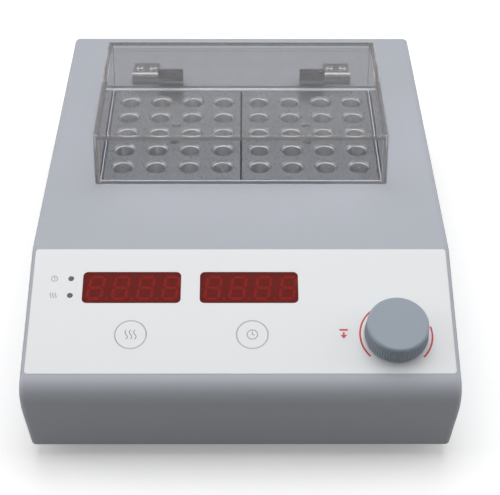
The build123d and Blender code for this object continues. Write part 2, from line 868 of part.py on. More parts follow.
# Hinges: a leaf on the lid's rear wall, a bracket screwed to the deck, and the pin through both
for side, hand in hands.items():
    leaf_plane, leaf_width = across(hand * hinge_inner, hand * (hinge_split - hinge_play))
    bracket_plane, bracket_width = across(hand * hinge_split, hand * hinge_outer)
    pin_plane, pin_length = across(hand * hinge_inner, hand * hinge_outer)

    with BuildPart() as leaf:
        with BuildSketch(leaf_plane):
            with Locations((lid_rear, deck_z + leaf_lift)):
                Rectangle(leaf_sheet, leaf_height, align=Align.MIN)
            with Locations((lid_rear, pin_z - barrel_radius)):
                Rectangle(pin_y - lid_rear, barrel_radius, align=Align.MIN)
            with Locations((pin_y, pin_z)):
                Circle(barrel_radius)
                Circle(pin_radius + pin_play, mode=Mode.SUBTRACT)
        extrude(amount=leaf_width)
    finish(leaf, f"hinge_leaf_{side}")

    with BuildPart() as bracket:
        with BuildSketch(bracket_plane):
            with Locations((pin_y - barrel_radius, deck_z)):
                Rectangle(2 * barrel_radius, pin_drop, align=Align.MIN)
            with Locations((pin_y, pin_z)):
                Circle(barrel_radius)
            with Locations((pin_y, deck_z)):
                Rectangle(bracket_reach, bracket_sheet, align=Align.MIN)
            with Locations((pin_y, pin_z)):
                Circle(pin_radius + pin_press, mode=Mode.SUBTRACT)
        extrude(amount=bracket_width)
        with BuildSketch(Plane.XY.offset(deck_z)):
            with Locations(*hinge_screw_spots):
                Circle(hinge_screw_radius + screw_play)
        extrude(amount=bracket_sheet, mode=Mode.SUBTRACT)
    finish(bracket, f"hinge_bracket_{side}")

    with BuildPart() as pin:
        with BuildSketch(pin_plane):
            with Locations((pin_y, pin_z)):
                Circle(pin_radius)
        extrude(amount=pin_length)
    finish(pin, f"hinge_pin_{side}")

screws(
    "hinge_screws",
    hinge_screw_spots,
    Plane.XY.offset(deck_z + bracket_sheet),
    hinge_head_radius,
    hinge_head_height,
    hinge_screw_radius - screw_play,
    bracket_sheet + wall + 2 * screw_tail,
)

# Power inlet: flange and body in one, with a bevelled socket and a shaft for the fuse drawer
shaft_depth = drawer_depth + drawer_play
with BuildPart() as power_inlet:
    with BuildSketch(rear_face()):
        with Locations((-inlet_x, 0)):
            RectangleRounded(inlet_width, inlet_height, flange_corner)
    extrude(amount=flange_sheet)
    with BuildSketch(rear_face()):
        with Locations((-inlet_x, 0)):
            Rectangle(inlet_width - 2 * flange_overlap, inlet_height - 2 * flange_overlap)
    extrude(amount=-inlet_depth)
    with BuildSketch(rear_face(flange_sheet)) as socket:
        with Locations((-socket_x, 0)):
            Rectangle(socket_width, socket_height)
        chamfer(socket.vertices().group_by(Axis.Y)[-1], length=socket_bevel)
    extrude(amount=-socket_depth, mode=Mode.SUBTRACT)
    with BuildSketch(rear_face(flange_sheet)):
        with Locations((-drawer_x, 0)):
            Rectangle(drawer_width + 2 * drawer_play, drawer_height + 2 * drawer_play)
    extrude(amount=-shaft_depth, mode=Mode.SUBTRACT)
finish(power_inlet, "power_inlet")

with BuildPart() as inlet_contacts:
    with BuildSketch(rear_face(flange_sheet - socket_depth)):
        with Locations(
            (-socket_x - contact_spread, 0),
            (-socket_x, contact_rise),
            (-socket_x + contact_spread, 0),
        ):
            Rectangle(contact_sheet, contact_height)
    extrude(amount=contact_length)
finish(inlet_contacts, "inlet_contacts")

with BuildPart() as fuse_drawer:
    with BuildSketch(rear_face(flange_sheet)):
        with Locations((-drawer_x, 0)):
            Rectangle(drawer_width + 2 * drawer_lap, drawer_height + 2 * drawer_lap)
    extrude(amount=rear_stand - flange_sheet)
    with BuildSketch(rear_face(flange_sheet)):
        with Locations((-drawer_x, 0)):
            Rectangle(drawer_width, drawer_height)
    extrude(amount=-drawer_depth)
    with BuildSketch(rear_face(flange_sheet - drawer_wall)):
        with Locations((-drawer_x, drawer_height / 2 - fuse_radius)):
            Rectangle(2 * (fuse_radius + fuse_play), 2 * (fuse_radius + fuse_play))
    extrude(amount=-fuse_length - 2 * fuse_play, mode=Mode.SUBTRACT)
finish(fuse_drawer, "fuse_drawer")

with BuildPart() as fuse:
    with BuildSketch(rear_face(flange_sheet - drawer_wall - fuse_play)):
        with Locations((-drawer_x, drawer_height / 2 - fuse_radius)):
            Circle(fuse_radius)
    extrude(amount=-fuse_length)
finish(fuse, "fuse")

# Rocker switch: a frame with a cavity, and a rocker that swings on its own short pins
rocker_pivot = rear_face(-rocker_pin_depth).origin + Vector(rocker_x, 0, 0)
tilt = radians(rocker_tilt)
with BuildPart() as switch_frame:
    with BuildSketch(rear_face()):
        with Locations((-rocker_x, 0)):
            RectangleRounded(rocker_frame_width, rocker_frame_height, flange_corner / 2)
    extrude(amount=flange_sheet)
    with BuildSketch(rear_face()):
        with Locations((-rocker_x, 0)):
            Rectangle(rocker_frame_width - 2 * flange_overlap, rocker_frame_height - 2 * flange_overlap)
    extrude(amount=-rocker_frame_depth)
    with BuildSketch(rear_face(flange_sheet)):
        with Locations((-rocker_x, 0)):
            Rectangle(rocker_width + 2 * rocker_play, rocker_length + 2 * rocker_play)
    extrude(amount=-rocker_frame_depth + flange_overlap, mode=Mode.SUBTRACT)
    with BuildSketch(Plane(origin=rocker_pivot, x_dir=(0, 1, 0), z_dir=(1, 0, 0))):
        Circle(rocker_pin_radius + shaft_play)
    extrude(amount=rocker_width / 2 + rocker_pin_length + rocker_play, both=True, mode=Mode.SUBTRACT)
finish(switch_frame, "switch_frame")

with BuildPart() as switch_rocker:
    rocker_plane = Plane(origin=rocker_pivot, x_dir=(0, cos(tilt), -sin(tilt)), z_dir=(1, 0, 0))
    with BuildSketch(rocker_plane):
        with BuildLine():
            Polyline(
                (rocker_middle, 0),
                (rocker_tip, rocker_tip_length / 2),
                (0, rocker_length / 2),
                (-rocker_keel, rocker_keel_length / 2),
                (-rocker_keel, -rocker_keel_length / 2),
                (0, -rocker_length / 2),
                (rocker_tip, -rocker_tip_length / 2),
                close=True,
            )
        make_face()
    extrude(amount=rocker_width / 2, both=True)
    with BuildSketch(rocker_plane):
        Circle(rocker_pin_radius)
    extrude(amount=rocker_width / 2 + rocker_pin_length, both=True)
finish(switch_rocker, "switch_rocker")

# Power board on its standoffs, with the transformer, the heat sink and the triac
power_z = tray_z + power_stand
power_top = power_z + board_thick
power_posts = [
    (side * (power_width / 2 - power_post_inset), power_y + end * (power_length / 2 - power_post_inset))
    for side in (-1, 1)
    for end in (-1, 1)
]
with BuildPart() as power_board:
    with BuildSketch(Plane.XY.offset(power_z)):
        with Locations((0, power_y)):
            Rectangle(power_width, power_length)
        with Locations(*power_posts):
            Circle(board_screw_radius + screw_play, mode=Mode.SUBTRACT)
    extrude(amount=board_thick)
finish(power_board, "power_board")

with BuildPart() as power_board_standoffs:
    with BuildSketch(Plane.XY.offset(tray_z)):
        with Locations(*power_posts):
            RegularPolygon(power_post_radius, 6)
            Circle(board_screw_radius - screw_play, mode=Mode.SUBTRACT)
    extrude(amount=power_stand)
finish(power_board_standoffs, "power_board_standoffs")

screws(
    "power_board_screws",
    power_posts,
    Plane.XY.offset(power_top),
    board_screw_radius * 2,
    board_screw_radius,
    board_screw_radius - screw_play,
    board_thick + board_screw_bite,
)

with BuildPart() as transformer:
    with BuildSketch(Plane.XY.offset(power_top)):
        with Locations((-power_width / 4, power_y)):
            Rectangle(transformer_width, transformer_length / 2)
    extrude(amount=transformer_height)
    with BuildSketch(Plane.XY.offset(power_top + coil_inset)):
        with Locations((-power_width / 4, power_y)):
            RectangleRounded(transformer_width - 2 * coil_inset, transformer_length, coil_inset)
    extrude(amount=transformer_height - 2 * coil_inset)
finish(transformer, "transformer")

sink_x = power_width / 4
with BuildPart() as heat_sink:
    with BuildSketch(Plane.XY.offset(power_top)):
        with Locations((sink_x, power_y + sink_length / 2 - sink_fin)):
            Rectangle(sink_width, 2 * sink_fin)
        with Locations((sink_x, power_y)):
            with GridLocations((sink_width - sink_fin) / (sink_fins - 1), 0, sink_fins, 1):
                Rectangle(sink_fin, sink_length)
    extrude(amount=sink_height)
finish(heat_sink, "heat_sink")

with BuildPart() as triac:
    with BuildSketch(Plane.XY.offset(power_top)):
        with Locations((sink_x, power_y + (sink_length + triac_depth) / 2)):
            Rectangle(triac_width, triac_depth)
    extrude(amount=triac_height)
finish(triac, "triac")
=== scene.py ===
import bpy
import bmesh
import json
import math
from mathutils import Matrix, Vector


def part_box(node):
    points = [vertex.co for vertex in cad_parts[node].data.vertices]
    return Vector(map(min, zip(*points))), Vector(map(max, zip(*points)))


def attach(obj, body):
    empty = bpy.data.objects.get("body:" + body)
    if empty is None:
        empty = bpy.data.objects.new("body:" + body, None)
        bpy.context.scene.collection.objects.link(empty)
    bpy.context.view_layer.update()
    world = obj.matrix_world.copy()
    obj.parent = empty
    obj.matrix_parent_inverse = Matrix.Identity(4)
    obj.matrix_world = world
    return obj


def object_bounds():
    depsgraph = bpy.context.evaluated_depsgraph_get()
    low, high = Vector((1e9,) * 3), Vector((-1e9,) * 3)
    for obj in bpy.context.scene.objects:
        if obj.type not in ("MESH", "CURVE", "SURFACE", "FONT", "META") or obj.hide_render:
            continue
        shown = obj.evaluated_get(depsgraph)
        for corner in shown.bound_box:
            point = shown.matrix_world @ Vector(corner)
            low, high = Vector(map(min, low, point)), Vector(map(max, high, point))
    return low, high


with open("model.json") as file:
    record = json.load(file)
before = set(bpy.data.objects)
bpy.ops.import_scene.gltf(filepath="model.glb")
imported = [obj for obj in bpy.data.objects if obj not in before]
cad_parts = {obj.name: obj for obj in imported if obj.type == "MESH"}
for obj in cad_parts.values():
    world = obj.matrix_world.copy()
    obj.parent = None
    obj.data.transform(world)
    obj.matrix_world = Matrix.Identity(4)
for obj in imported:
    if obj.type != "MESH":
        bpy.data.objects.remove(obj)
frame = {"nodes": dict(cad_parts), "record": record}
cadLow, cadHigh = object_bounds()
nodes = frame["nodes"]
scene = bpy.context.scene
print("frame loaded:", len(nodes), "nodes")


# the sloping panel in mm: the film's box gives the crease line and the lid's foot gives the deck height
panel = {"slope": math.radians(20.4), "filmFace": 0.2, "filmSink": 0.3, "filmTop": 2.1}
slopeSin, slopeCos = math.sin(panel["slope"]), math.cos(panel["slope"])
panel["deckZ"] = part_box("lid")[0].z * 1000
panel["creaseY"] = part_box("panel_film")[1].y * 1000 + panel["filmTop"] * slopeCos - panel["filmSink"] * slopeSin


def middleOf(node):  # mm across and down the slope for the middle of a round or square piece on the panel
    low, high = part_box(node)
    centre = (low + high) / 2 * 1000
    return centre.x, (panel["creaseY"] - centre.y) * slopeCos + (panel["deckZ"] - centre.z) * slopeSin


def onPanel(x, down, height=0.0):  # mm across, down the slope and off the face; gives metres
    y = panel["creaseY"] - down * slopeCos - height * slopeSin
    z = panel["deckZ"] - down * slopeSin + height * slopeCos
    return Vector((x, y, z)) / 1000


def panelMatrix(x, down, height=0.0):  # a mesh drawn in mm on XY lands on the panel, Y up the slope
    turn = Matrix.Rotation(panel["slope"], 4, "X")
    return Matrix.Translation(onPanel(x, down, height)) @ turn @ Matrix.Scale(0.001, 4)


def hexColour(code):  # a screen colour such as "b6bac4" as linear light
    parts = [int(code[i:i + 2], 16) / 255 for i in (0, 2, 4)]
    return [p / 12.92 if p <= 0.04045 else ((p + 0.055) / 1.055) ** 2.4 for p in parts] + [1.0]


# shader groups shared by the finishes
def newGroup(name, inputs, outputs):
    tree = bpy.data.node_groups.new(name, "ShaderNodeTree")
    for label, kind, value in inputs:
        made = tree.interface.new_socket(name=label, in_out="INPUT", socket_type=kind)
        made.default_value = value
    for label, kind in outputs:
        tree.interface.new_socket(name=label, in_out="OUTPUT", socket_type=kind)
    return tree, tree.nodes.new("NodeGroupInput"), tree.nodes.new("NodeGroupOutput")


def mathNode(tree, kind, a, b=None, c=None):
    node = tree.nodes.new("ShaderNodeMath")
    node.operation = kind
    for i, value in enumerate((a, b, c)):
        if value is None:
            continue
        if isinstance(value, (int, float)):
            node.inputs[i].default_value = value
        else:
            tree.links.new(value, node.inputs[i])
    return node.outputs[0]


def mixColour(tree, fac, a, b, blend="MIX"):
    node = tree.nodes.new("ShaderNodeMix")
    node.data_type = "RGBA"
    node.blend_type = blend
    for i, value in ((0, fac), (6, a), (7, b)):
        if isinstance(value, (int, float, list, tuple)):
            node.inputs[i].default_value = value
        else:
            tree.links.new(value, node.inputs[i])
    return node.outputs[2]


def noiseNode(tree, vector, scale, detail=2.0, rough=0.5):
    node = tree.nodes.new("ShaderNodeTexNoise")
    tree.links.new(vector, node.inputs["Vector"])
    for label, value in (("Scale", scale), ("Detail", detail), ("Roughness", rough)):
        if isinstance(value, (int, float)):
            node.inputs[label].default_value = value
        else:
            tree.links.new(value, node.inputs[label])
    return node.outputs["Fac"]


def makeGrain():  # moulded or painted grain: a fine height and a slow drift of tone
    tree, come, go = newGroup("surfaceGrain", [
        ("Vector", "NodeSocketVector", (0, 0, 0)), ("Grain Scale", "NodeSocketFloat", 900.0),
        ("Drift Scale", "NodeSocketFloat", 14.0), ("Drift Amount", "NodeSocketFloat", 0.04),
        ("Rough Low", "NodeSocketFloat", 0.4), ("Rough High", "NodeSocketFloat", 0.5),
        ("Colour", "NodeSocketColor", (0.5, 0.5, 0.5, 1)),
    ], [("Colour", "NodeSocketColor"), ("Roughness", "NodeSocketFloat"), ("Height", "NodeSocketFloat")])
    v = come.outputs["Vector"]
    fine = noiseNode(tree, v, come.outputs["Grain Scale"], 3.0, 0.6)
    drift = noiseNode(tree, v, come.outputs["Drift Scale"], 3.0)
    swing = mathNode(tree, "MULTIPLY_ADD", drift, 2.0, -1.0)
    fineSwing = mathNode(tree, "MULTIPLY_ADD", fine, 1.0, -0.5)
    fineShare = 0.8
    both = mathNode(tree, "MULTIPLY_ADD", fineSwing, fineShare, swing)
    gain = mathNode(tree, "MULTIPLY_ADD", both, come.outputs["Drift Amount"], 1.0)
    tint = tree.nodes.new("ShaderNodeVectorMath")
    tint.operation = "SCALE"
    tree.links.new(come.outputs["Colour"], tint.inputs[0])
    tree.links.new(gain, tint.inputs["Scale"])
    tree.links.new(tint.outputs[0], go.inputs["Colour"])
    spread = mathNode(tree, "SUBTRACT", come.outputs["Rough High"], come.outputs["Rough Low"])
    tree.links.new(mathNode(tree, "MULTIPLY_ADD", drift, spread, come.outputs["Rough Low"]), go.inputs["Roughness"])
    tree.links.new(fine, go.inputs["Height"])
    return tree


def makeBrush():  # brushed or turned metal: scratches drawn out along one direction of the vector
    tree, come, go = newGroup("brushedMarks", [
        ("Vector", "NodeSocketVector", (0, 0, 0)), ("Stretch", "NodeSocketVector", (1, 1, 1)),
        ("Scale", "NodeSocketFloat", 400.0), ("Rough Low", "NodeSocketFloat", 0.25),
        ("Rough High", "NodeSocketFloat", 0.45), ("Colour", "NodeSocketColor", (0.6, 0.6, 0.6, 1)),
        ("Tone Amount", "NodeSocketFloat", 0.12),
    ], [("Colour", "NodeSocketColor"), ("Roughness", "NodeSocketFloat"), ("Height", "NodeSocketFloat")])
    pull = tree.nodes.new("ShaderNodeVectorMath")
    pull.operation = "MULTIPLY"
    tree.links.new(come.outputs["Vector"], pull.inputs[0])
    tree.links.new(come.outputs["Stretch"], pull.inputs[1])
    marks = noiseNode(tree, pull.outputs[0], come.outputs["Scale"], 4.0, 0.65)
    spread = mathNode(tree, "SUBTRACT", come.outputs["Rough High"], come.outputs["Rough Low"])
    tree.links.new(mathNode(tree, "MULTIPLY_ADD", marks, spread, come.outputs["Rough Low"]), go.inputs["Roughness"])
    swing = mathNode(tree, "MULTIPLY_ADD", marks, 2.0, -1.0)
    gain = mathNode(tree, "MULTIPLY_ADD", swing, come.outputs["Tone Amount"], 1.0)
    tint = tree.nodes.new("ShaderNodeVectorMath")
    tint.operation = "SCALE"
    tree.links.new(come.outputs["Colour"], tint.inputs[0])
    tree.links.new(gain, tint.inputs["Scale"])
    tree.links.new(tint.outputs[0], go.inputs["Colour"])
    tree.links.new(marks, go.inputs["Height"])
    return tree


def makeBore():  # drilled walls under a level, within a mirrored pair of outlines: tool rings and their mask
    tree, come, go = newGroup("boreMarks", [
        ("Vector", "NodeSocketVector", (0, 0, 0)), ("Centre", "NodeSocketVector", (0, 0, 0)),
        ("Half", "NodeSocketVector", (1, 1, 1)), ("Level", "NodeSocketFloat", 0.0),
        ("Pitch", "NodeSocketFloat", 0.0005), ("Top Height", "NodeSocketFloat", 0.5),
    ], [("Mask", "NodeSocketFloat"), ("Height", "NodeSocketFloat")])
    spot, centre, half = [tree.nodes.new("ShaderNodeSeparateXYZ") for i in range(3)]
    for node, label in ((spot, "Vector"), (centre, "Centre"), (half, "Half")):
        tree.links.new(come.outputs[label], node.inputs[0])
    mirrored = mathNode(tree, "ABSOLUTE", spot.outputs["X"])
    inside = mathNode(tree, "LESS_THAN", spot.outputs["Z"], come.outputs["Level"])
    for place, axis in ((mirrored, "X"), (spot.outputs["Y"], "Y")):
        away = mathNode(tree, "ABSOLUTE", mathNode(tree, "SUBTRACT", place, centre.outputs[axis]))
        inside = mathNode(tree, "MULTIPLY", inside, mathNode(tree, "LESS_THAN", away, half.outputs[axis]))
    turns = mathNode(tree, "DIVIDE", spot.outputs["Z"], come.outputs["Pitch"])
    wave = mathNode(tree, "SINE", mathNode(tree, "MULTIPLY", turns, 2 * math.pi))
    lift = mathNode(tree, "MULTIPLY", mathNode(tree, "MULTIPLY_ADD", wave, 0.5, 0.5), inside)
    rest = mathNode(tree, "MULTIPLY", come.outputs["Top Height"], mathNode(tree, "SUBTRACT", 1.0, inside))
    tree.links.new(inside, go.inputs["Mask"])
    tree.links.new(mathNode(tree, "ADD", lift, rest), go.inputs["Height"])
    return tree


surfaceGrain = makeGrain()
brushedMarks = makeBrush()
boreMarks = makeBore()


def newMaterial(name):
    made = bpy.data.materials.new(name)
    made.use_nodes = True
    tree = made.node_tree
    shader = tree.nodes["Principled BSDF"]
    place = tree.nodes.new("ShaderNodeTexCoord").outputs["Object"]
    return made, tree, shader, place


def setSockets(shader, values):
    for label, value in values.items():
        shader.inputs[label].default_value = value


def addBump(tree, shader, height, distance, strength):
    bump = tree.nodes.new("ShaderNodeBump")
    bump.inputs["Distance"].default_value = distance
    bump.inputs["Strength"].default_value = strength
    tree.links.new(height, bump.inputs["Height"])
    tree.links.new(bump.outputs[0], shader.inputs["Normal"])


def grainMaterial(name, colour, rough, grain=900.0, drift=14.0, amount=0.04, depth=0.00004, strength=0.25, **more):
    made, tree, shader, place = newMaterial(name)
    group = tree.nodes.new("ShaderNodeGroup")
    group.node_tree = surfaceGrain
    tree.links.new(place, group.inputs["Vector"])
    setSockets(group, {"Grain Scale": grain, "Drift Scale": drift, "Drift Amount": amount,
                       "Rough Low": rough[0], "Rough High": rough[1], "Colour": colour})
    tree.links.new(group.outputs["Colour"], shader.inputs["Base Color"])
    tree.links.new(group.outputs["Roughness"], shader.inputs["Roughness"])
    addBump(tree, shader, group.outputs["Height"], depth, strength)
    setSockets(shader, more)
    return made


def brushMaterial(name, colour, rough, stretch, scale=400.0, tone=0.12, depth=0.00003, strength=0.2, **more):
    made, tree, shader, place = newMaterial(name)
    group = tree.nodes.new("ShaderNodeGroup")
    group.node_tree = brushedMarks
    tree.links.new(place, group.inputs["Vector"])
    setSockets(group, {"Stretch": stretch, "Scale": scale, "Rough Low": rough[0], "Rough High": rough[1],
                       "Colour": colour, "Tone Amount": tone})
    tree.links.new(group.outputs["Colour"], shader.inputs["Base Color"])
    tree.links.new(group.outputs["Roughness"], shader.inputs["Roughness"])
    addBump(tree, shader, group.outputs["Height"], depth, strength)
    setSockets(shader, {"Metallic": 1.0, **more})
    return made


blockMarks = {"stretch": (1, 0.35, 1), "scale": 1100.0, "tone": 0.10, "topHeight": 0.01, "depth": 0.00010}


def boredMaterial(name, colour, wall, rough, node, edge, mouth):  # brushed on top and ringed in the holes; the lighter colour of the hole walls is painted light standing in for the reflections that brighten the wells
    made = brushMaterial(name, colour, rough, blockMarks["stretch"], blockMarks["scale"], blockMarks["tone"])
    tree = made.node_tree
    shader, brush, bump = tree.nodes["Principled BSDF"], tree.nodes["Group"], tree.nodes["Bump"]
    low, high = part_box(node)
    middle = (low + high) / 2
    bore = tree.nodes.new("ShaderNodeGroup")
    bore.node_tree = boreMarks
    tree.links.new(brush.inputs["Vector"].links[0].from_socket, bore.inputs["Vector"])
    setSockets(bore, {"Centre": (abs(middle.x), middle.y, 0), "Level": high.z - mouth,
                      "Half": ((high.x - low.x) / 2 - edge, (high.y - low.y) / 2 - edge, 1)})
    topHeight = mathNode(tree, "MULTIPLY", brush.outputs["Height"], blockMarks["topHeight"])
    tree.links.new(topHeight, bore.inputs["Top Height"])
    # painted light: the hole walls take the lighter wall colour so that the wells look bright
    tree.links.new(mixColour(tree, bore.outputs["Mask"], brush.outputs["Colour"], wall), shader.inputs["Base Color"])
    setSockets(bump, {"Distance": blockMarks["depth"], "Strength": 1.0})
    tree.links.new(bore.outputs["Height"], bump.inputs["Height"])
    return made


def clearMaterial(name, colour, rough, shade, **more):  # clear plastic; lamps shine through it in the given shade
    made, tree, shader, place = newMaterial(name)
    out = tree.nodes["Material Output"]
    group = tree.nodes.new("ShaderNodeGroup")
    group.node_tree = surfaceGrain
    tree.links.new(place, group.inputs["Vector"])
    setSockets(group, {"Grain Scale": 60.0, "Drift Scale": 9.0, "Drift Amount": 0.01,
                       "Rough Low": rough[0], "Rough High": rough[1], "Colour": colour})
    tree.links.new(group.outputs["Colour"], shader.inputs["Base Color"])
    tree.links.new(group.outputs["Roughness"], shader.inputs["Roughness"])
    setSockets(shader, {"Transmission Weight": 1.0, "IOR": 1.49, **more})
    through = tree.nodes.new("ShaderNodeBsdfTransparent")
    through.inputs["Color"].default_value = shade
    mix = tree.nodes.new("ShaderNodeMixShader")
    ray = tree.nodes.new("ShaderNodeLightPath")
    tree.links.new(ray.outputs["Is Shadow Ray"], mix.inputs[0])
    tree.links.new(shader.outputs[0], mix.inputs[1])
    tree.links.new(through.outputs[0], mix.inputs[2])
    tree.links.new(mix.outputs[0], out.inputs["Surface"])
    return made


# one finish for each slot of the record
finishes = {
    "case_plastic": grainMaterial("caseMoulding", hexColour("b5b9c1"), (0.42, 0.52), 1400.0, 9.0, 0.025),
    "tray_steel": grainMaterial("trayPaint", hexColour("8d9094"), (0.45, 0.6), 1100.0, 20.0, 0.05),
    "screw_steel": brushMaterial("zincScrews", hexColour("d0d2d4"), (0.3, 0.45), (1, 1, 1), 900.0, 0.1),
    "film_plastic": grainMaterial("panelFilm", hexColour("f4f6f7"), (0.38, 0.46), 2600.0, 8.0, 0.015, 0.00001, 0.15),
    "smoked_plastic": grainMaterial("indicatorFace", hexColour("46494c"), (0.2, 0.3), 2000.0, 40.0, 0.05),
    "led_plastic": grainMaterial("ledBody", hexColour("d8d4d0"), (0.25, 0.35), 900.0, 60.0, 0.04),
    "red_filter": clearMaterial("redFilter", [0.52, 0.11, 0.09, 1], (0.10, 0.16), [0.78, 0.26, 0.22, 1], IOR=1.12),
    "display_plastic": grainMaterial("displayBody", [0.24, 0.16, 0.15, 1], (0.5, 0.65), 1800.0, 60.0, 0.06),
    "board_laminate": grainMaterial("boardLaminate", hexColour("1f6b3f"), (0.3, 0.45), 500.0, 30.0, 0.12),
    "plunger_plastic": grainMaterial("plungerPlastic", hexColour("2c2c2e"), (0.4, 0.5), 1500.0, 60.0, 0.05),
    "switch_plastic": grainMaterial("switchPlastic", hexColour("303033"), (0.45, 0.6), 1500.0, 60.0, 0.05),
    "encoder_metal": brushMaterial("encoderMetal", hexColour("c8cacc"), (0.25, 0.4), (1, 1, 6), 700.0, 0.1),
    "knob_plastic": grainMaterial("knobPlastic", hexColour("9ca6b2"), (0.42, 0.52), 1500.0, 40.0, 0.03),
    # the lighter d6d7d9 of the hole walls is painted light; the top keeps the block's own 8d9094
    "block_aluminium": boredMaterial("blockAluminium", hexColour("8d9094"), hexColour("d6d7d9"), (0.22, 0.36),
                                     "heating_block_left", 0.0005, 0.0010),
    "liner_aluminium": brushMaterial("linerAluminium", hexColour("b4b6b8"), (0.3, 0.5), (1, 0.05, 1), 900.0, 0.12),
    "heater_rubber": grainMaterial("heaterRubber", hexColour("b3592f"), (0.55, 0.7), 700.0, 25.0, 0.1),
    "insulation_felt": grainMaterial("insulationFelt", hexColour("e4e0d4"), (0.85, 0.95), 300.0, 40.0, 0.12,
                                     0.0004, 0.8),
    "lid_acrylic": clearMaterial("lidAcrylic", hexColour("eae9ea"), (0.005, 0.02), hexColour("f4f3f2"), **{
        "IOR": 1.03, "Coat Weight": 1.0, "Coat Roughness": 0.02, "Coat IOR": 1.49}),
    "hinge_steel": brushMaterial("hingeSteel", hexColour("b9bbbc"), (0.2, 0.38), (0.05, 1, 1), 900.0, 0.14),
    "transformer_iron": grainMaterial("transformerIron", hexColour("3a3a3b"), (0.4, 0.6), 260.0, 30.0, 0.15),
    "inlet_plastic": grainMaterial("inletPlastic", hexColour("2a2a2c"), (0.35, 0.48), 1500.0, 40.0, 0.05),
    "rocker_plastic": grainMaterial("rockerPlastic", hexColour("242426"), (0.16, 0.24), 1500.0, 40.0, 0.04),
    "contact_brass": brushMaterial("contactMetal", hexColour("d8d2bc"), (0.2, 0.35), (1, 0.1, 1), 900.0, 0.1),
    "fuse_glass": clearMaterial("fuseGlass", hexColour("f2f4f2"), (0.01, 0.03), hexColour("eef0ee")),
    "foot_rubber": grainMaterial("footRubber", hexColour("262627"), (0.65, 0.8), 900.0, 30.0, 0.08),
}
slotOf = {part["node"]: part["material_slot"] for part in frame["record"]["subparts"]}
for name, node in nodes.items():
    node.data.materials.clear()
    node.data.materials.append(finishes[slotOf[name]])
print("finishes set:", len(finishes))


# printed marks on the film
def arcPoints(centre, radius, start, end, steps):
    angles = [math.radians(start + (end - start) * i / steps) for i in range(steps + 1)]
    return [(centre[0] + radius * math.cos(a), centre[1] + radius * math.sin(a)) for a in angles]


def arcBand(centre, radius, width, start=0.0, end=360.0, steps=96):  # quads of a ring or of a part of one
    inner = arcPoints(centre, radius - width / 2, start, end, steps)
    outer = arcPoints(centre, radius + width / 2, start, end, steps)
    return [[outer[i], outer[i + 1], inner[i + 1], inner[i]] for i in range(steps)]


def strokeBand(points, width):  # a line of even width through the points, with square ends
    sides = []
    for i, point in enumerate(points):
        before, after = Vector(points[max(i - 1, 0)]), Vector(points[min(i + 1, len(points) - 1)])
        along = (after - before).normalized()
        across = Vector((-along.y, along.x)) * width / 2
        sides.append((tuple(Vector(point) + across), tuple(Vector(point) - across)))
    return [[sides[i][0], sides[i][1], sides[i + 1][1], sides[i + 1][0]] for i in range(len(sides) - 1)]


def printMarks(name, faces, place, body, material, thick=0.03, weld=0.002):  # mm shapes as a thin closed print
    bm = bmesh.new()
    for face in faces:
        bm.faces.new([bm.verts.new((x, y, 0)) for x, y in face])
    bmesh.ops.remove_doubles(bm, verts=bm.verts, dist=weld)
    top = bmesh.ops.extrude_face_region(bm, geom=bm.faces[:])
    raised = [v for v in top["geom"] if isinstance(v, bmesh.types.BMVert)]
    bmesh.ops.translate(bm, verts=raised, vec=(0, 0, thick))
    bmesh.ops.recalc_face_normals(bm, faces=bm.faces)
    mesh = bpy.data.meshes.new(name)
    bm.to_mesh(mesh)
    bm.free()
    mesh.transform(place)
    mesh.materials.append(material)
    made = bpy.data.objects.new(name, mesh)
    scene.collection.objects.link(made)
    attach(made, body)
    return made


inks = {
    "grey": grainMaterial("greyInk", hexColour("c4c9cd"), (0.4, 0.5), 2400.0, 30.0, 0.03, 0.00001, 0.1),
    "dark": grainMaterial("darkInk", hexColour("8d9296"), (0.4, 0.5), 2400.0, 30.0, 0.03, 0.00001, 0.1),
    "red": grainMaterial("redInk", hexColour("d83c3c"), (0.4, 0.5), 2400.0, 30.0, 0.03, 0.00001, 0.1),
    "white": grainMaterial("whiteInk", hexColour("e6e6e6"), (0.4, 0.5), 2400.0, 30.0, 0.03, 0.00001, 0.1),
}

keys = {"lineRadius": 8.0, "lineWidth": 0.45, "mark": 5.2, "stroke": 0.4}
# shares of a sign's size
waves = {"apart": 0.42, "swing": 0.13, "steps": 12}
hands = {"up": 0.33, "across": 0.2, "drop": 0.08}


def waveMark(size, stroke):  # three rising waves for heat
    lines, steps = [], waves["steps"]
    for shift in (-1, 0, 1):
        points = [(shift * size * waves["apart"] + waves["swing"] * size * math.sin(2 * math.pi * t / steps),
                   size * (t / steps - 0.5)) for t in range(steps + 1)]
        lines += strokeBand(points, stroke)
    return lines


def clockMark(size, stroke):  # a dial with two hands for the timer
    dialRing = arcBand((0, 0), size / 2, stroke, steps=40)
    tips = [(0, size * hands["up"]), (0, 0), (size * hands["across"], -size * hands["drop"])]
    return dialRing + strokeBand(tips, stroke)


for body, mark in (("heat_key", waveMark), ("timer_key", clockMark)):
    place = panelMatrix(*middleOf(body), panel["filmFace"])
    printMarks(body.replace("_key", "KeyLine"), arcBand((0, 0), keys["lineRadius"], keys["lineWidth"]),
               place, "case", inks["grey"])
    printMarks(body.replace("_key", "KeyMark"), mark(keys["mark"], keys["stroke"]),
               place, body, inks["dark"])

labels = {"shift": -8.5, "timerDown": 19.9, "heatDown": 29.8, "size": 3.0, "stroke": 0.32}
for name, down, mark in (("timerLabel", labels["timerDown"], clockMark), ("heatLabel", labels["heatDown"], waveMark)):
    x = middleOf("indicator_windows")[0] + labels["shift"]
    printMarks(name, mark(labels["size"], labels["stroke"]), panelMatrix(x, down, panel["filmFace"]),
               "case", inks["dark"])

dial = {"radius": 18.0, "width": 0.9, "left": (132, 222), "right": (-44, 15)}
knobX, knobDown = middleOf("encoder_nut")
place = panelMatrix(knobX, knobDown, panel["filmFace"])
for name in ("left", "right"):
    start, end = dial[name]
    printMarks("dialArc" + name.capitalize(), arcBand((0, 0), dial["radius"], dial["width"], start, end, 48),
               place, "case", inks["red"])

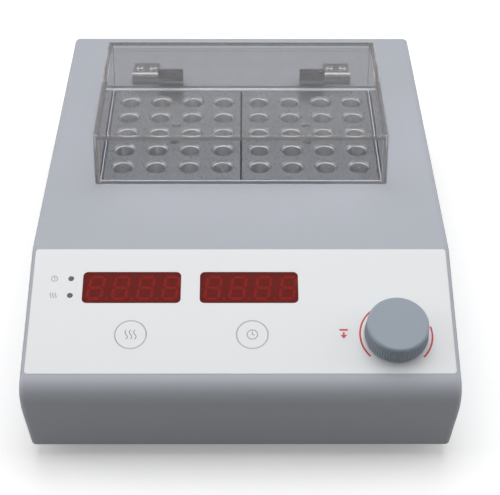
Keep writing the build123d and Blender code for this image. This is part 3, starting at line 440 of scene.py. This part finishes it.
press = {"shift": -26.1, "rise": 1.0, "bar": 4.2, "barUp": 1.8, "stroke": 1.0, "scale": 1.3}
arrow = {"tip": -2.4, "neck": -0.8, "tail": 0.4, "headHalf": 1.3, "stemHalf": 0.35}
bar = strokeBand([(-press["bar"] / 2, press["barUp"]), (press["bar"] / 2, press["barUp"])], press["stroke"])
rightSide = [(arrow["headHalf"], arrow["neck"]), (arrow["stemHalf"], arrow["neck"]), (arrow["stemHalf"], arrow["tail"])]
outline = [(0, arrow["tip"])] + rightSide + [(-x, y) for x, y in reversed(rightSide)]
arrowFace = [(x * press["scale"], y * press["scale"]) for x, y in outline]
place = panelMatrix(knobX + press["shift"], knobDown - press["rise"], panel["filmFace"])
printMarks("pressMark", bar + [arrowFace], place, "case", inks["red"])

# plain on and off signs on the two halves of the rocker, which leans about its pin
rocker = {"tilt": math.radians(9.0), "middle": 3.7, "tip": 4.7, "reach": 7.0, "sign": 2.6, "stroke": 0.5}
joints = {joint["name"]: joint for joint in frame["record"]["behaviour"]["joints"]}


def rockerMatrix(end):  # a mesh drawn in mm lands on the upper (1) or lower (-1) half of the face, seen from behind
    out = Vector((0, math.cos(rocker["tilt"]), -math.sin(rocker["tilt"])))
    up = Vector((0, math.sin(rocker["tilt"]), math.cos(rocker["tilt"])))
    lean = math.atan2(rocker["tip"] - rocker["middle"], rocker["reach"])
    along = up * math.cos(lean) + out * math.sin(lean) * end
    away = out * math.cos(lean) - up * math.sin(lean) * end
    spot = Vector(joints["rocker_tilt"]["pos_m"]) * 1000 + out * (rocker["middle"] + rocker["tip"]) / 2
    spot += up * end * rocker["reach"] / 2
    turn = Matrix((Vector((-1, 0, 0)), along, away)).transposed().to_4x4()
    return Matrix.Translation(spot / 1000) @ turn @ Matrix.Scale(0.001, 4)


onSign = strokeBand([(0, -rocker["sign"] / 2), (0, rocker["sign"] / 2)], rocker["stroke"])
offSign = arcBand((0, 0), (rocker["sign"] - rocker["stroke"]) / 2, rocker["stroke"], steps=40)
for name, end, shapes in (("rockerOn", 1, onSign), ("rockerOff", -1, offSign)):
    printMarks(name, shapes, rockerMatrix(end), "rocker", inks["white"])
print("prints done")


# display bars, one digit repeated along the module by geometry nodes, on a thin plate just under the window's face
digits = {"count": 4, "height": 14.2, "width": 8.4, "pitch": 12.7, "slant": 8.0, "groove": 1.5, "cut": 1.1,
          "play": 0.06, "depth": 0.06, "top": -0.20, "shift": 0.8, "dotSides": 16}
facePlate = {"top": -0.245, "thick": 0.04, "inset": 0.1}


def halfOf(node, place):  # half width and half height in mm of a flat piece, seen along the place's own axes
    back = place.inverted() @ nodes[node].matrix_world
    spots = [back @ vertex.co for vertex in nodes[node].data.vertices]
    return max(abs(spot.x) for spot in spots), max(abs(spot.y) for spot in spots)


def barOutline(length, width, steps=6):
    cap = width / 2
    right = [(length / 2 - cap + cap * math.cos(a), cap * math.sin(a))
             for a in [math.radians(-90 + 180 * i / steps) for i in range(steps + 1)]]
    return right + [(-x, -y) for x, y in right]


def digitMesh():
    bm = bmesh.new()
    step = (digits["height"] - digits["groove"]) / 4
    reach = (digits["width"] - digits["groove"]) / 2
    width = digits["groove"] - digits["play"]
    shear = math.tan(math.radians(digits["slant"]))
    bars = [(0, up, 0) for up in (-2 * step, 0, 2 * step)]
    bars += [(side * reach, end * step, 90 - digits["slant"]) for side in (-1, 1) for end in (-1, 1)]
    shapes = []
    for across, up, turn in bars:
        a = math.radians(turn)
        span = 2 * step if turn else 2 * reach
        outline = barOutline(span - digits["cut"] - digits["play"], width)
        shapes.append([(x * math.cos(a) - y * math.sin(a) + across + up * shear,
                        x * math.sin(a) + y * math.cos(a) + up) for x, y in outline])
    dot = (reach + 2 * digits["groove"] - 2 * step * shear, -2 * step)
    shapes.append(arcPoints(dot, width / 2, 0, 360, digits["dotSides"])[:-1])
    for outline in shapes:
        bm.faces.new([bm.verts.new((x, y, 0)) for x, y in outline])
    low = bmesh.ops.extrude_face_region(bm, geom=bm.faces[:])
    bmesh.ops.translate(bm, verts=[v for v in low["geom"] if isinstance(v, bmesh.types.BMVert)],
                        vec=(0, 0, -digits["depth"]))
    bmesh.ops.recalc_face_normals(bm, faces=bm.faces)
    mesh = bpy.data.meshes.new("digitBars")
    bm.to_mesh(mesh)
    bm.free()
    return mesh


def rowTree():  # repeats the incoming piece in a straight row
    tree = bpy.data.node_groups.new("digitRow", "GeometryNodeTree")
    sockets = {}
    tree.interface.new_socket(name="Piece", in_out="INPUT", socket_type="NodeSocketGeometry")
    for label, kind in (("Count", "NodeSocketInt"), ("Pitch", "NodeSocketFloat"), ("Start", "NodeSocketFloat"),
                        ("Finish", "NodeSocketMaterial")):
        sockets[label] = tree.interface.new_socket(name=label, in_out="INPUT", socket_type=kind).identifier
    tree.interface.new_socket(name="Row", in_out="OUTPUT", socket_type="NodeSocketGeometry")
    come, go = tree.nodes.new("NodeGroupInput"), tree.nodes.new("NodeGroupOutput")
    line = tree.nodes.new("GeometryNodeMeshLine")
    line.mode = "OFFSET"
    step, first = tree.nodes.new("ShaderNodeCombineXYZ"), tree.nodes.new("ShaderNodeCombineXYZ")
    spread = tree.nodes.new("GeometryNodeInstanceOnPoints")
    real, dress = tree.nodes.new("GeometryNodeRealizeInstances"), tree.nodes.new("GeometryNodeSetMaterial")
    link = tree.links.new
    link(come.outputs["Count"], line.inputs["Count"])
    link(come.outputs["Pitch"], step.inputs["X"])
    link(come.outputs["Start"], first.inputs["X"])
    link(step.outputs[0], line.inputs["Offset"])
    link(first.outputs[0], line.inputs["Start Location"])
    link(line.outputs[0], spread.inputs["Points"])
    link(come.outputs["Piece"], spread.inputs["Instance"])
    link(spread.outputs[0], real.inputs[0])
    link(real.outputs[0], dress.inputs["Geometry"])
    link(come.outputs["Finish"], dress.inputs["Material"])
    link(dress.outputs[0], go.inputs["Row"])
    return tree, sockets


rowNodes, rowSockets = rowTree()
# the display's face and bars keep their own dark red colours, darkened further as painted shade for their depth under
# the window
faceColourAndShade = grainMaterial("displayFace", [0.125, 0.045, 0.042, 1], (0.5, 0.65), 1800.0, 60.0, 0.06)
barColourAndShade = grainMaterial("segmentBars", [0.26, 0.045, 0.042, 1], (0.45, 0.55), 1500.0, 60.0, 0.05)
for side in ("Left", "Right"):
    window = "display_window_" + side.lower()
    place = panelMatrix(*middleOf(window), facePlate["top"] - facePlate["thick"])
    across, along = [half - facePlate["inset"] for half in halfOf(window, place)]
    printMarks("displayFace" + side, [[(-across, -along), (across, -along), (across, along), (-across, along)]],
               place, "case", faceColourAndShade, facePlate["thick"])
    seed = bpy.data.objects.new("digitSeed" + side, digitMesh())
    scene.collection.objects.link(seed)
    row = seed.modifiers.new("row", "NODES")
    row.node_group = rowNodes
    row[rowSockets["Count"]] = digits["count"]
    row[rowSockets["Pitch"]] = digits["pitch"]
    row[rowSockets["Start"]] = -(digits["count"] - 1) / 2 * digits["pitch"] + digits["shift"]
    row[rowSockets["Finish"]] = barColourAndShade
    done = bpy.data.meshes.new_from_object(seed.evaluated_get(bpy.context.evaluated_depsgraph_get()))
    seed.modifiers.clear()
    bpy.data.objects.remove(seed)
    done.transform(panelMatrix(*middleOf(window), digits["top"]))
    bars = bpy.data.objects.new("segmentBars" + side, done)
    scene.collection.objects.link(bars)
    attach(bars, "case")
print("display bars done")


# cut edges of the lid's sheets: the rim of the top sheet and the ends of the side walls catch the light, painted as
# tinted see-through bands, with thin painted highlights beside the wall ends and painted shade along the roof's edges
lidLow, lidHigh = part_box("lid")
edge = {"proud": 0.00003, "thick": 0.00006, "inset": 0.0008, "topSheet": 0.003, "wall": 0.0028, "lift": 0.0006,
        "taper": 0.0007, "topShadeWidth": 0.0020, "rearShadeWidth": 0.0012, "line": 0.0004}


def edgeMaterial(name, colour, alpha):
    made = grainMaterial(name, colour, (0.2, 0.35), 500.0, 40.0, 0.08, 0.00002, 0.2)
    made.node_tree.nodes["Principled BSDF"].inputs["Alpha"].default_value = alpha
    return made


edgeFinishes = {
    "edgeRim": edgeMaterial("edgeRim", [0.50, 0.49, 0.47, 1], 0.55),
    "edgeEnds": edgeMaterial("edgeEnds", [0.62, 0.56, 0.51, 1], 0.6),
    # painted shade: dark bands for the roof's side and rear edges
    "edgeTopShade": edgeMaterial("edgeTopShade", [0.26, 0.245, 0.23, 1], 0.5),
    # painted highlight: near-white lines standing in for light glinting on the wall ends
    "edgeHighlight": edgeMaterial("edgeHighlight", [0.86, 0.86, 0.87, 1], 0.5),
}


def slabBetween(bm, corners, away):  # a thin plate on four corners, thickened along away
    low = [bm.verts.new(c) for c in corners]
    high = [bm.verts.new(c + away) for c in corners]
    sides = [(low[i], low[(i + 1) % 4], high[(i + 1) % 4], high[i]) for i in range(4)]
    for face in [low, high] + sides:
        bm.faces.new(face)


def wallX(z):  # half width of the lid's outside at a height, by its taper
    rise = (z - lidLow.z) / (lidHigh.z - lidLow.z)
    return (lidHigh.x - lidLow.x) / 2 - edge["taper"] * rise


def wallY(z, end):  # outside of the front (end -1) or rear (end 1) wall at a height
    rise = (z - lidLow.z) / (lidHigh.z - lidLow.z)
    return (lidHigh.y if end > 0 else lidLow.y) - end * edge["taper"] * rise


def addPlates(name, plates, finish):
    bm = bmesh.new()
    for corners, away in plates:
        slabBetween(bm, [Vector(c) + Vector(away) * edge["proud"] for c in corners], Vector(away) * edge["thick"])
    bmesh.ops.recalc_face_normals(bm, faces=bm.faces)
    mesh = bpy.data.meshes.new(name)
    bm.to_mesh(mesh)
    bm.free()
    mesh.materials.append(finish)
    made = bpy.data.objects.new(name, mesh)
    scene.collection.objects.link(made)
    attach(made, "lid")


def levelPlate(end, z0, z1):  # a band on the front or rear wall between two heights
    x0, x1 = wallX(z0) - edge["inset"] * 2, wallX(z1) - edge["inset"] * 2
    return [(-x0, wallY(z0, end), z0), (x0, wallY(z0, end), z0), (x1, wallY(z1, end), z1),
            (-x1, wallY(z1, end), z1)], (0, end, 0)


def sidePlate(hand, z0, z1):
    y0, y1 = wallY(z0, -1) + edge["inset"] * 2, wallY(z0, 1) - edge["inset"] * 2
    return [(hand * wallX(z0), y0, z0), (hand * wallX(z0), y1, z0), (hand * wallX(z1), y1, z1),
            (hand * wallX(z1), y0, z1)], (hand, 0, 0)


def endPlate(hand, end, inner, outer, z0, z1):  # an upright band near a corner of the front or rear wall
    corners = ((inner, z0), (outer, z0), (outer, z1), (inner, z1))
    return [(hand * (wallX(z) - back), wallY(z, end), z) for back, z in corners], (0, end, 0)


rimLow, rimHigh = lidHigh.z - edge["topSheet"], lidHigh.z - edge["inset"]
addPlates("lidRim", [levelPlate(-1, rimLow, rimHigh), levelPlate(1, rimLow, rimHigh),
                     sidePlate(-1, rimLow, rimHigh), sidePlate(1, rimLow, rimHigh)], edgeFinishes["edgeRim"])
standLow = lidLow.z + edge["lift"]
addPlates("lidWallEnds", [endPlate(hand, end, edge["inset"] * 2, edge["wall"], standLow, rimLow)
                          for hand in (-1, 1) for end in (-1, 1)], edgeFinishes["edgeEnds"])
# painted highlight: a thin near-white band beside each wall end, standing in for light on the bevelled edge
addPlates("lidWallHighlights", [endPlate(hand, end, edge["wall"], edge["wall"] + edge["line"], standLow, rimLow)
                           for hand in (-1, 1) for end in (-1, 1)], edgeFinishes["edgeHighlight"])
# painted shade: dark see-through bands along the roof's side and rear edges, standing in for the shade those edges show
roof = lidHigh.z
roofX, roofFront, roofRear = wallX(roof), wallY(roof, -1), wallY(roof, 1)
roofShadePlates = []
for hand in (-1, 1):
    near, far = hand * (roofX - edge["inset"]), hand * (roofX - edge["inset"] - edge["topShadeWidth"])
    roofShadePlates.append(([(near, roofFront + edge["inset"], roof), (near, roofRear - edge["inset"], roof),
                        (far, roofRear - edge["inset"], roof), (far, roofFront + edge["inset"], roof)], (0, 0, 1)))
rearX = roofX - edge["inset"] - edge["topShadeWidth"]
rearNear, rearFar = roofRear - edge["inset"], roofRear - edge["inset"] - edge["rearShadeWidth"]
roofShadePlates.append(([(-rearX, rearNear, roof), (rearX, rearNear, roof),
                    (rearX, rearFar, roof), (-rearX, rearFar, roof)], (0, 0, 1)))
addPlates("lidRoofShadeBands", roofShadePlates, edgeFinishes["edgeTopShade"])
print("lid edges done")


# camera, floor and light
view = {"across": 0.00166, "before": 0.47841, "height": 0.49555, "lens": 96.7, "sensor": 36.0,
        "pitch": 37.0, "yaw": -0.32, "roll": -0.19, "near": 0.01, "far": 20.0}
cameraData = bpy.data.cameras.new("camera")
cameraData.lens = view["lens"]
cameraData.sensor_width = view["sensor"]
cameraData.clip_start, cameraData.clip_end = view["near"], view["far"]
camera = bpy.data.objects.new("camera", cameraData)
scene.collection.objects.link(camera)
spot = Matrix.Translation((view["across"], cadLow.y - view["before"], view["height"]))
for angle, axis in ((view["yaw"], "Z"), (90 - view["pitch"], "X"), (-view["roll"], "Z")):
    spot = spot @ Matrix.Rotation(math.radians(angle), 4, axis)
camera.matrix_world = spot
scene.camera = camera


def seenColour(tree, seen, other):  # one colour for what the camera or a mirror sees, another for bounced light
    ray = tree.nodes.new("ShaderNodeLightPath")
    direct = mathNode(tree, "MAXIMUM", ray.outputs["Is Camera Ray"], ray.outputs["Is Glossy Ray"])
    direct = mathNode(tree, "MAXIMUM", direct, ray.outputs["Is Transmission Ray"])
    return mixColour(tree, direct, other, seen)


def studioGlow(tree, ends):  # what shines in the surfaces: bright sides, a grey rear and a dark camera side
    place = tree.nodes.new("ShaderNodeTexCoord").outputs["Generated"]
    parts = tree.nodes.new("ShaderNodeSeparateXYZ")
    tree.links.new(place, parts.inputs[0])
    values = []
    for source, (low, high, dim, bright) in ((mathNode(tree, "ABSOLUTE", parts.outputs["X"]), ends["sides"]),
                                             (parts.outputs["Y"], ends["depth"]), (parts.outputs["Z"], ends["up"])):
        ramp = tree.nodes.new("ShaderNodeMapRange")
        ramp.interpolation_type = "SMOOTHSTEP"
        for label, value in (("From Min", low), ("From Max", high), ("To Min", dim), ("To Max", bright)):
            ramp.inputs[label].default_value = value
        tree.links.new(source, ramp.inputs["Value"])
        values.append(ramp.outputs[0])
    total = mathNode(tree, "ADD", mathNode(tree, "ADD", values[0], values[1]), values[2])
    return mathNode(tree, "MINIMUM", total, 1.0)


studio = {"floorSize": 3.0, "floorSeen": (1.0, 1.0, 1.0, 1), "floorBounce": (0.33, 0.323, 0.305, 1), "floorGlow": 0.27,
          "worldSeen": (1.0, 1.0, 1.0, 1), "worldLight": (0.275, 0.275, 0.28, 1),
          "glow": {"sides": (0.25, 0.7, 0.0, 0.8), "depth": (-0.5, 0.6, 0.02, 0.30), "up": (0.2, 0.9, 0.0, 0.2)}}
floorMesh = bpy.data.meshes.new("floor")
half = studio["floorSize"] / 2
floorMesh.from_pydata([(-half, -half, 0), (half, -half, 0), (half, half, 0), (-half, half, 0)], [], [(0, 1, 2, 3)])
floor = bpy.data.objects.new("floor", floorMesh)
scene.collection.objects.link(floor)
floorFinish, tree, shader, place = newMaterial("studioFloor")
tree.links.new(seenColour(tree, studio["floorSeen"], studio["floorBounce"]), shader.inputs["Base Color"])
setSockets(shader, {"Roughness": 1.0, "Specular IOR Level": 0.0})
glow, both = tree.nodes.new("ShaderNodeEmission"), tree.nodes.new("ShaderNodeAddShader")
ray = tree.nodes.new("ShaderNodeLightPath")
tree.links.new(mathNode(tree, "MULTIPLY", ray.outputs["Is Camera Ray"], studio["floorGlow"]), glow.inputs["Strength"])
tree.links.new(shader.outputs[0], both.inputs[0])
tree.links.new(glow.outputs[0], both.inputs[1])
tree.links.new(both.outputs[0], tree.nodes["Material Output"].inputs["Surface"])
floorMesh.materials.append(floorFinish)

world = bpy.data.worlds.new("studio")
scene.world = world
world.use_nodes = True
back = world.node_tree.nodes["Background"]
tree = world.node_tree
ray = tree.nodes.new("ShaderNodeLightPath")
shine = mixColour(tree, ray.outputs["Is Glossy Ray"], studio["worldLight"], studioGlow(tree, studio["glow"]))
straight = mathNode(tree, "MAXIMUM", ray.outputs["Is Camera Ray"], ray.outputs["Is Transmission Ray"])
tree.links.new(mixColour(tree, straight, shine, studio["worldSeen"]), back.inputs["Color"])

lamps = {
    "topSoft": {"place": (0.0, 0.25, 1.3), "aim": (0, 0.0, 0.05), "size": 1.3, "power": 10.6},
    "leftSoft": {"place": (-1.1, -0.05, 0.6), "aim": (0, 0, 0.05), "size": 0.8, "power": 3.2},
    "rightSoft": {"place": (1.1, 0.05, 0.6), "aim": (0, 0, 0.05), "size": 0.8, "power": 2.6},
}
for name, lamp in lamps.items():
    data = bpy.data.lights.new(name, "AREA")
    data.size = lamp["size"]
    data.energy = lamp["power"]
    made = bpy.data.objects.new(name, data)
    scene.collection.objects.link(made)
    made.location = lamp["place"]
    made.rotation_euler = (Vector(lamp["aim"]) - Vector(lamp["place"])).to_track_quat("-Z", "Y").to_euler()

scene.view_settings.view_transform = "Standard"
print("studio done")
